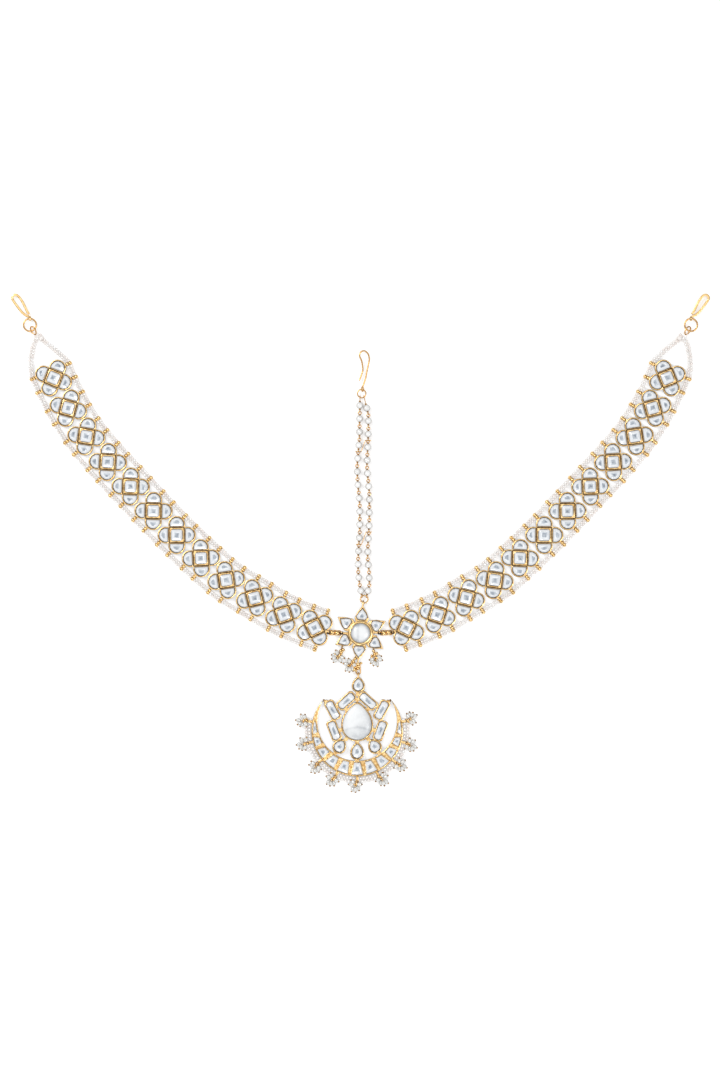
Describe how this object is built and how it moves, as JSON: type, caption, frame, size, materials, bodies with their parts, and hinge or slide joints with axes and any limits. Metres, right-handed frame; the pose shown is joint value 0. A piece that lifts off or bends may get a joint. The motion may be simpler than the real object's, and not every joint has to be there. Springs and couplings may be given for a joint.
{
  "type": "matha patti",
  "caption": "Bridal head jewel laid flat: two curved bands of stone-set motifs edged with seed beads, a star, a crescent pendant, two pearl strands and three hair hooks.",
  "frame": {"origin": "middle of the star, on its flat back", "axes": "+X to the right across both bands, +Y up the parting towards the hair, +Z out of the stones' faces"},
  "size_m": [0.2932, 0.2092, 0.0045],
  "materials": {
    "gold": "polished gold plating",
    "cut_stone": "foil-backed cut glass",
    "domed_stone": "pearly domed glass",
    "seed_bead": "white seed beads on thread",
    "pearl": "lustrous white pearl"
  },
  "bodies": {
    "root": {"left_motif_1": "gold", "left_motif_2": "gold", "left_motif_3": "gold", "left_motif_4": "gold", "left_motif_5": "gold", "left_motif_6": "gold", "left_motif_7": "gold", "left_motif_8": "gold", "left_motif_9": "gold", "left_motif_10": "gold", "left_motif_11": "gold", "left_motif_12": "gold", "right_motif_1": "gold", "right_motif_2": "gold", "right_motif_3": "gold", "right_motif_4": "gold", "right_motif_5": "gold", "right_motif_6": "gold", "right_motif_7": "gold", "right_motif_8": "gold", "right_motif_9": "gold", "right_motif_10": "gold", "right_motif_11": "gold", "right_motif_12": "gold", "left_band_stones": "cut_stone", "left_bead_string": "seed_bead", "left_link": "gold", "left_bail": "gold", "left_ring": "gold", "left_hook": "gold", "left_strand_pearls": "pearl", "left_strand_wires": "gold", "right_band_stones": "cut_stone", "right_bead_string": "seed_bead", "right_link": "gold", "right_bail": "gold", "right_ring": "gold", "right_hook": "gold", "right_strand_pearls": "pearl", "right_strand_wires": "gold", "strand_ties": "gold", "centre_ring": "gold", "centre_hook": "gold", "star_frame": "gold", "star_centre_stone": "domed_stone", "star_petal_stones": "cut_stone", "star_fringe": "pearl", "star_top_ring": "gold", "pendant_link": "gold", "pendant_frame": "gold", "pendant_centre_stone": "domed_stone", "pendant_pears": "cut_stone", "pendant_baguettes": "cut_stone", "crescent_stones": "cut_stone", "rim_string": "seed_bead", "pendant_fringe": "pearl"}
  },
  "joints": []
}
